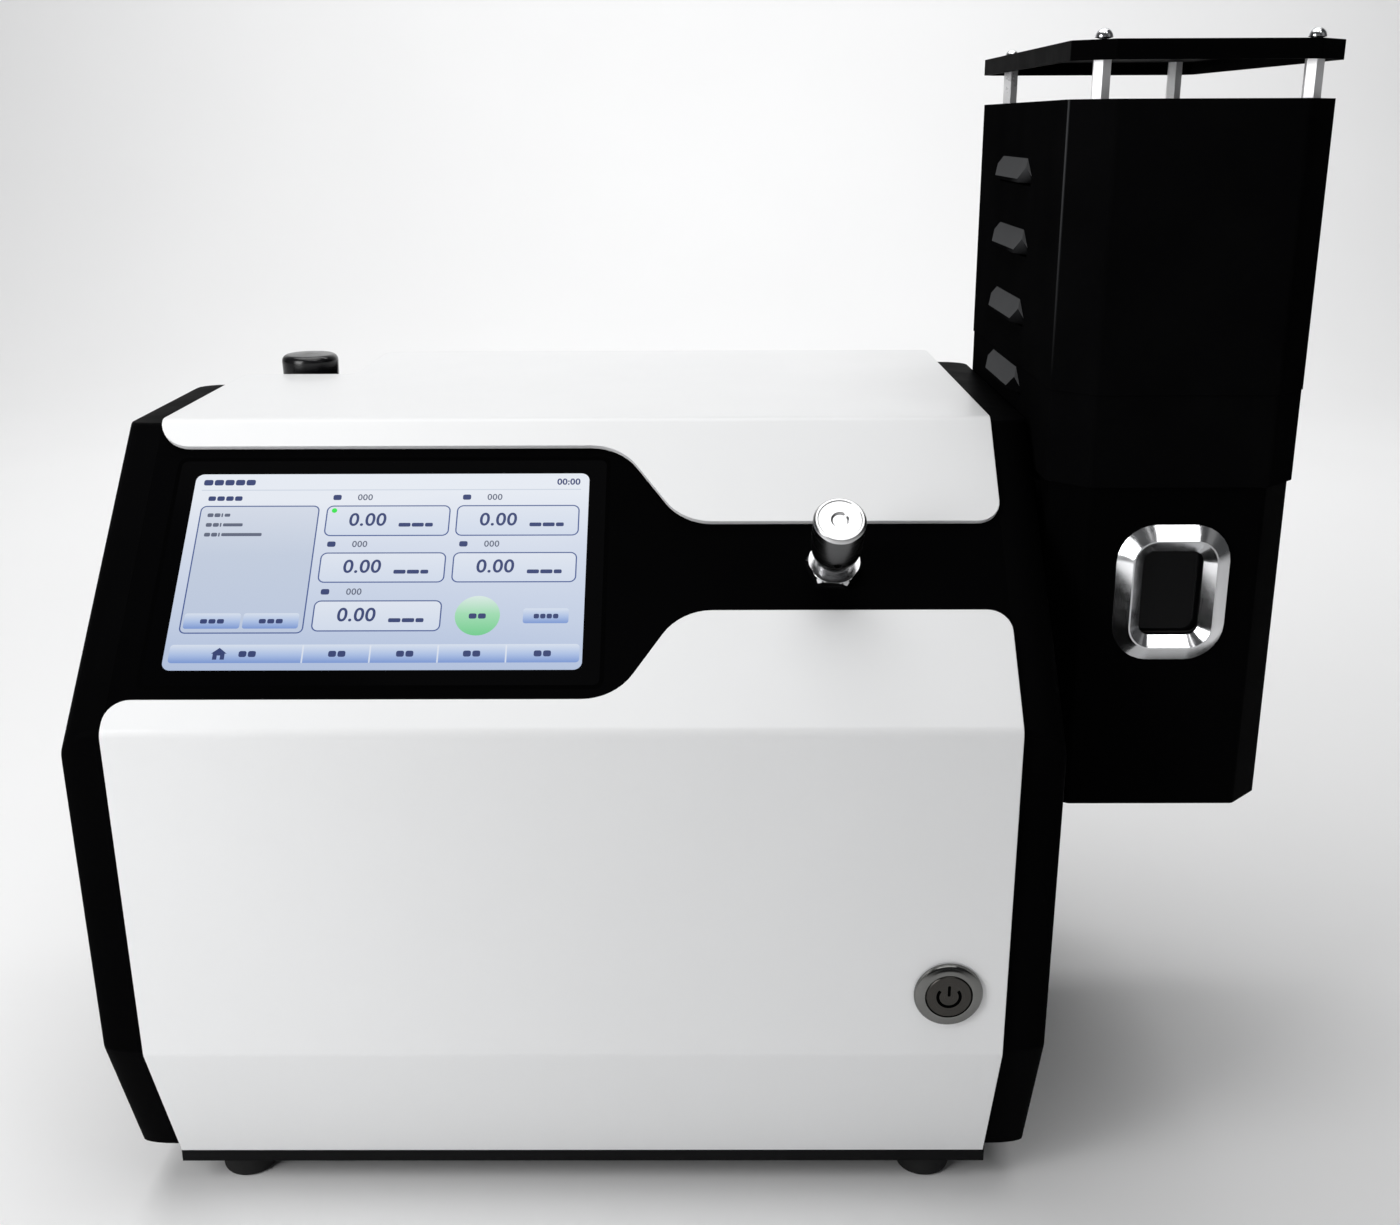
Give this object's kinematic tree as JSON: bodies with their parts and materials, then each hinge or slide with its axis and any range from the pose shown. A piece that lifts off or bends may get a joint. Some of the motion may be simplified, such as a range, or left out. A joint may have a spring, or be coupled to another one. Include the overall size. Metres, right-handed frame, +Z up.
{
  "type": "flame photometer",
  "caption": "Bench flame photometer: sloping touch screen body with white covers, metering valve knob, push button and a side burner housing with louvred chimney.",
  "frame": {"origin": "centre of the plan outline at bench level, under the feet", "axes": "+X to the right as seen from the front, +Y to the back, +Z up"},
  "size_m": [0.4642, 0.3065, 0.4538],
  "materials": {
    "white_cover": "gloss",
    "black_case": "satin powder coat",
    "black_sheet": "fine texture",
    "screen_glass": "polished",
    "lcd_panel": "lit",
    "clear_glass": "clear",
    "steel": "machined",
    "chrome": "polished",
    "zinc": "plated",
    "dark_steel": "blackened",
    "brass": "turned",
    "aluminium": "satin",
    "dark_aluminium": "anodised",
    "rubber": "matte",
    "black_plastic": "moulded",
    "gloss_black": "polished",
    "white_plastic": "natural",
    "board_green": "solder mask",
    "ceramic": "glazed",
    "tube_orange": "smooth",
    "tube_blue": "smooth"
  },
  "bodies": {
    "case": {"left_cheek": "black_case", "right_cheek": "black_case", "wrap_shell": "black_case", "front_cover": "white_cover", "upper_cover": "white_cover", "base_tray": "black_sheet", "rear_panel": "black_sheet", "regulator_deck": "black_case", "rubber_feet": "rubber", "foot_screws": "zinc", "touch_glass": "screen_glass", "lcd_module": "lcd_panel", "display_board": "board_green", "valve_body": "steel", "valve_nut": "steel", "button_body": "chrome", "button_nut": "zinc", "button_seal": "rubber", "regulator_body": "dark_aluminium", "regulator_nut": "black_plastic", "burner_housing": "black_sheet", "chimney_sleeve": "black_sheet", "chimney_cap": "black_sheet", "cap_standoffs": "zinc", "cap_screws": "chrome", "window_bezel": "chrome", "window_gasket": "rubber", "window_glass": "clear_glass", "glass_chimney": "clear_glass", "burner_bracket": "zinc", "mixing_chamber": "white_plastic", "burner_head": "brass", "nebulizer": "steel", "drain_elbow": "white_plastic", "igniter": "ceramic", "optical_block": "dark_aluminium", "lens": "clear_glass", "filters": "clear_glass", "detectors": "zinc", "detector_board": "board_green", "main_board": "board_green", "board_pillars": "brass", "power_supply": "aluminium", "mains_inlet": "black_plastic", "serial_port": "zinc", "air_inlet": "aluminium", "gas_inlet": "brass", "solenoid_valve": "brass", "gas_tube": "tube_orange", "air_tube": "tube_blue", "panel_screws": "zinc"},
    "push_button": {"button_cap": "chrome"},
    "valve_lift": {"valve_stem": "steel"},
    "valve_turn": {"valve_knob": "steel", "valve_grub_screw": "dark_steel"},
    "regulator_turn": {"regulator_screw": "zinc"},
    "regulator_lift": {"regulator_knob": "gloss_black"},
    "fuse_drawer": {"fuse_drawer": "black_plastic"},
    "solenoid_plunger": {"solenoid_plunger": "steel"}
  },
  "joints": [
    {"name": "power_press", "type": "slide", "parent": "case", "child": "push_button", "axis": [0, 0.9997, 0.0224], "range_m": [0, 0.0022], "stiffness_N_per_m": 700, "springref_m": -0.001},
    {"name": "valve_travel", "type": "slide", "parent": "case", "child": "valve_lift", "axis": [0, -0.6928, 0.7211], "range_m": [0, 0.003]},
    {"name": "valve_rotation", "type": "hinge", "parent": "case", "child": "valve_turn", "pos_m": [0.04995, -0.11666, 0.2778], "axis": [0, -0.6928, 0.7211], "range_deg": [0, 1440]},
    {"name": "regulator_rotation", "type": "hinge", "parent": "case", "child": "regulator_turn", "pos_m": [-0.18955, 0.08515, 0.295], "axis": [0, 0, 1], "range_deg": [-900, 900]},
    {"name": "regulator_unlock", "type": "slide", "parent": "regulator_turn", "child": "regulator_lift", "axis": [0, 0, 1], "range_m": [0, 0.003]},
    {"name": "fuse_slide", "type": "slide", "parent": "case", "child": "fuse_drawer", "axis": [0, 1, 0], "range_m": [0, 0.018]},
    {"name": "solenoid_stroke", "type": "slide", "parent": "case", "child": "solenoid_plunger", "axis": [0, 0, 1], "range_m": [0, 0.003], "stiffness_N_per_m": 250, "springref_m": -0.004}
  ],
  "couplings": [
    {"joint": "valve_travel", "follows": "valve_rotation", "m_per_rad": 0.00011936}
  ]
}
